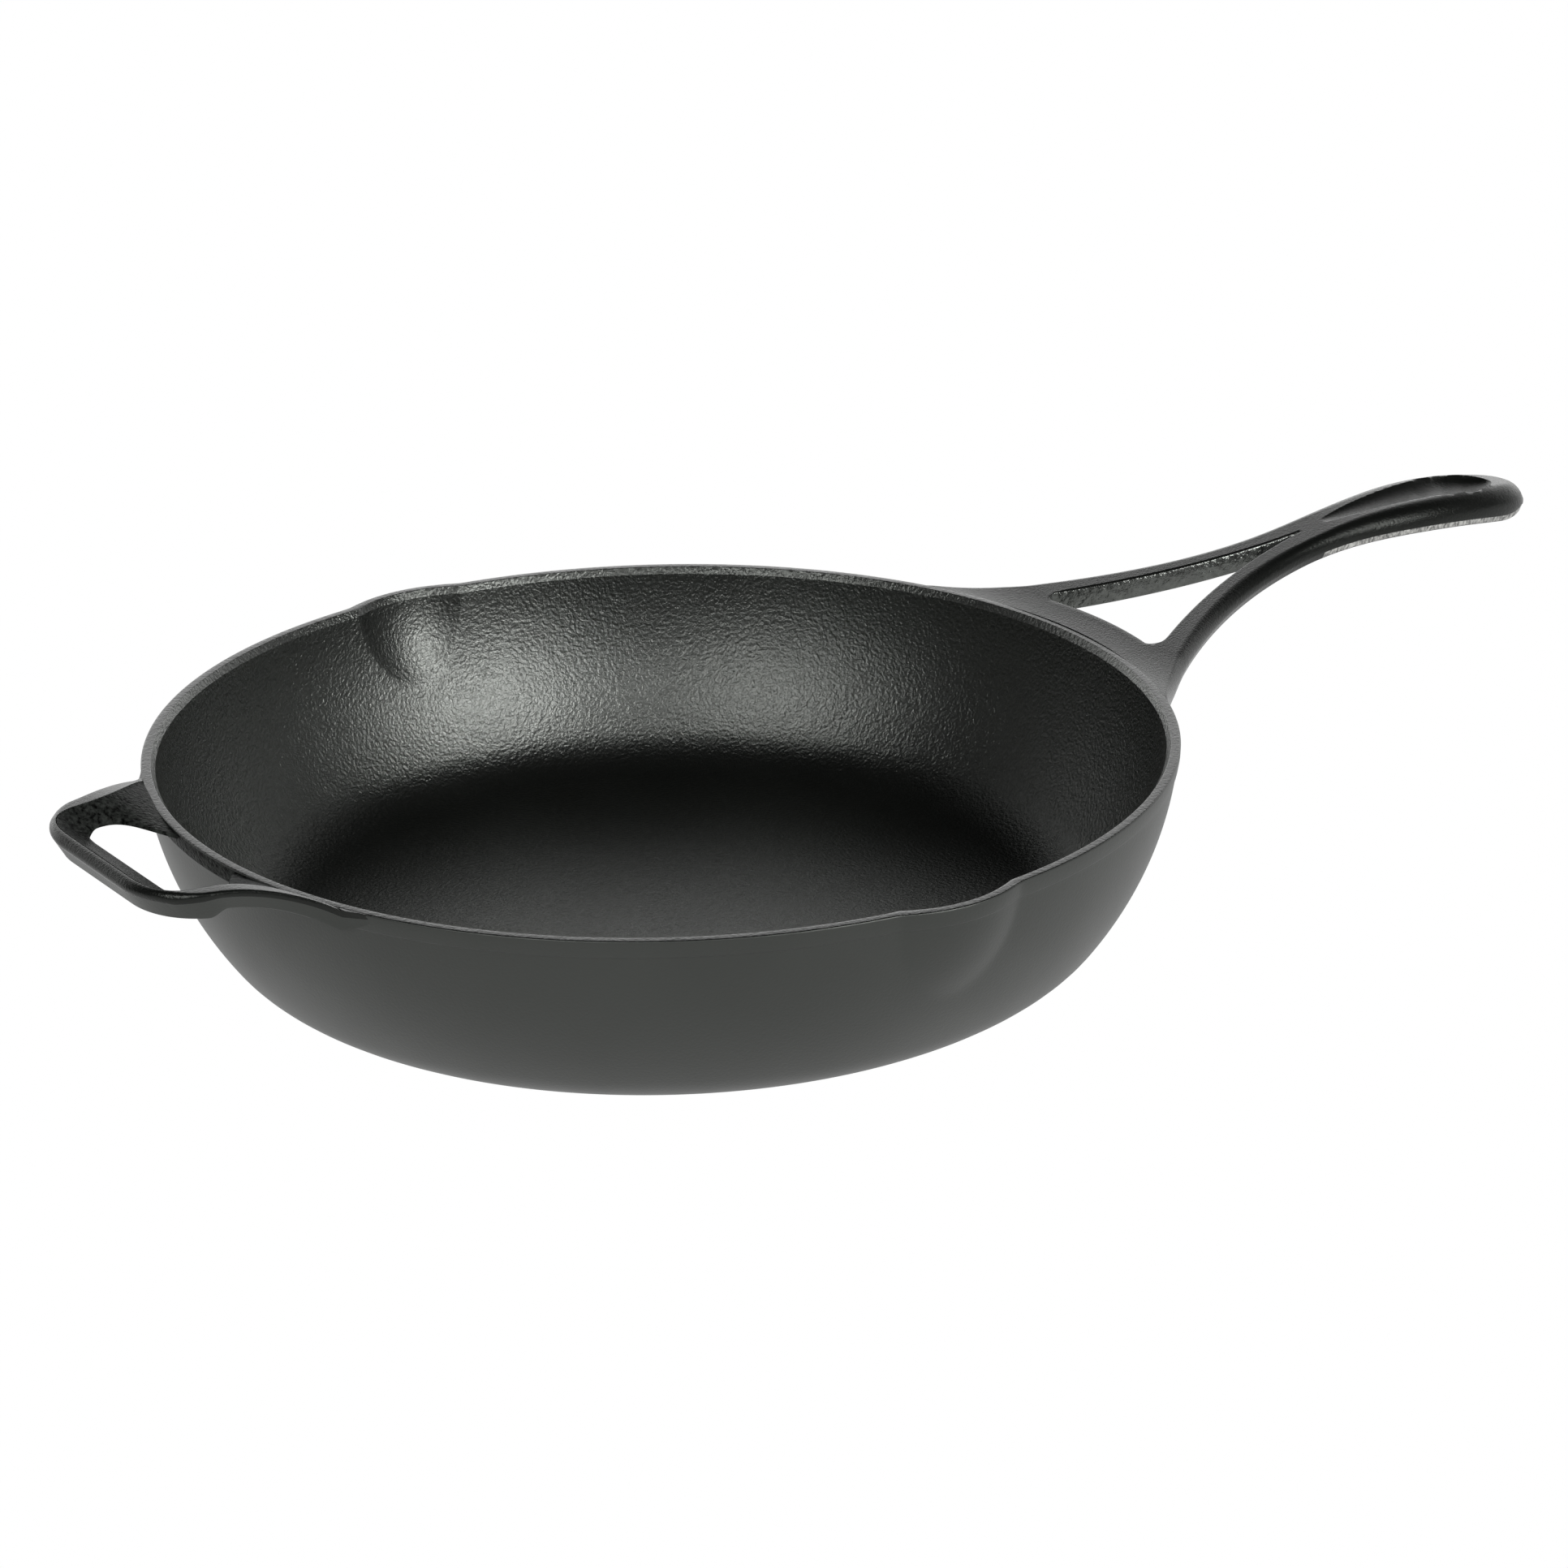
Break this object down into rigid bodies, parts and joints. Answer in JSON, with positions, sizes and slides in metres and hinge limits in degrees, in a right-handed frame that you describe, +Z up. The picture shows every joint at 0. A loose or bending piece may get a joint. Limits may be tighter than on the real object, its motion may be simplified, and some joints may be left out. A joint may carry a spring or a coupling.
{
  "type": "cast iron skillet",
  "caption": "Deep round iron frying pan with a forked long handle, a loop assist handle opposite and two pour spouts in the rim.",
  "frame": {"origin": "centre of the flat underside, on the table", "axes": "+Z up, +X along the long handle, so the pour spouts point to +Y and -Y"},
  "size_m": [0.519, 0.3146, 0.0803],
  "materials": {
    "seasoned_iron_inside": "pebbled casting with a glossy baked-on seasoning",
    "seasoned_iron_wall": "fine matte casting, semi-gloss and pebbled on the inside",
    "seasoned_iron_handle": "fine matte casting with ground edges"
  },
  "bodies": {
    "root": {"pan_floor": "seasoned_iron_inside", "pan_wall": "seasoned_iron_wall", "long_handle": "seasoned_iron_handle", "assist_handle": "seasoned_iron_handle"}
  },
  "joints": []
}
